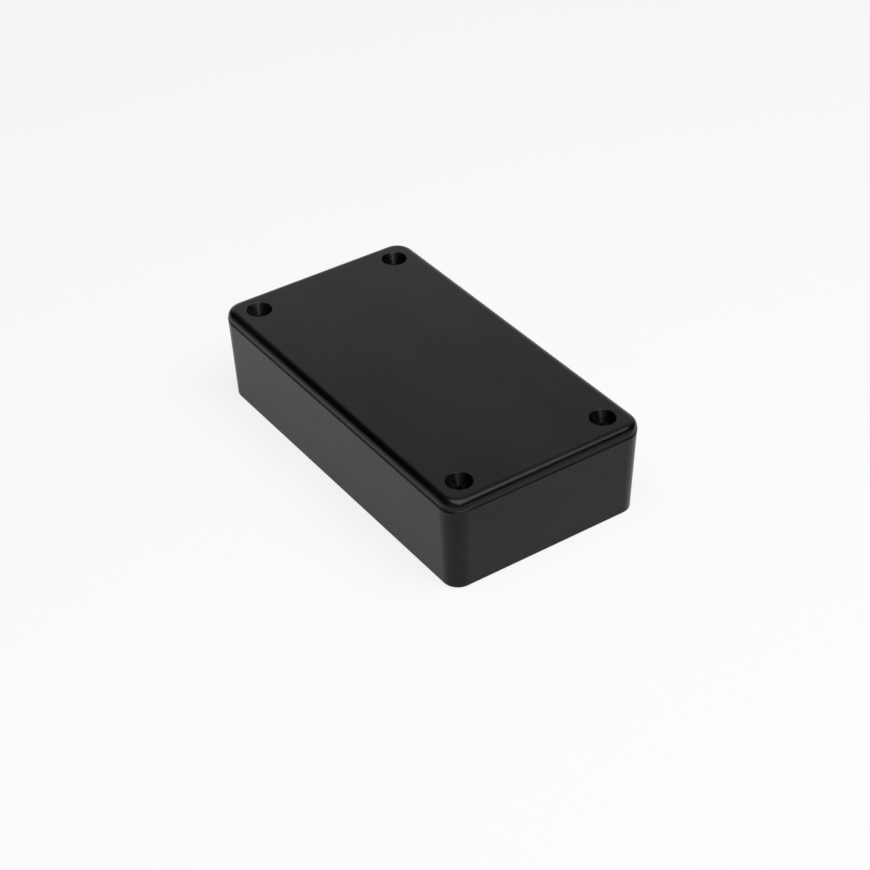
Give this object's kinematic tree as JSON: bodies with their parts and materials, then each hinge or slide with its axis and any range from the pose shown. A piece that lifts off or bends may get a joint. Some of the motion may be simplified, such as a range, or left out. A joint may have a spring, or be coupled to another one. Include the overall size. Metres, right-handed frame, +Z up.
{
  "type": "plastic project box",
  "caption": "Moulded plastic project box with drafted walls and a screw-down lid that has a rolled edge and countersunk corner holes.",
  "frame": {"origin": "middle of the underside, on the surface the box stands on", "axes": "+X along the length, +Y across the width, +Z up through the lid"},
  "size_m": [0.112, 0.061, 0.028],
  "materials": {
    "base_plastic": "black moulded ABS with a fine satin texture",
    "lid_plastic": "black moulded ABS with a fine satin texture",
    "insert_brass": "turned brass"
  },
  "bodies": {
    "root": {"base": "base_plastic", "lid": "lid_plastic", "insert_near": "insert_brass", "insert_right": "insert_brass", "insert_left": "insert_brass", "insert_far": "insert_brass"}
  },
  "joints": []
}
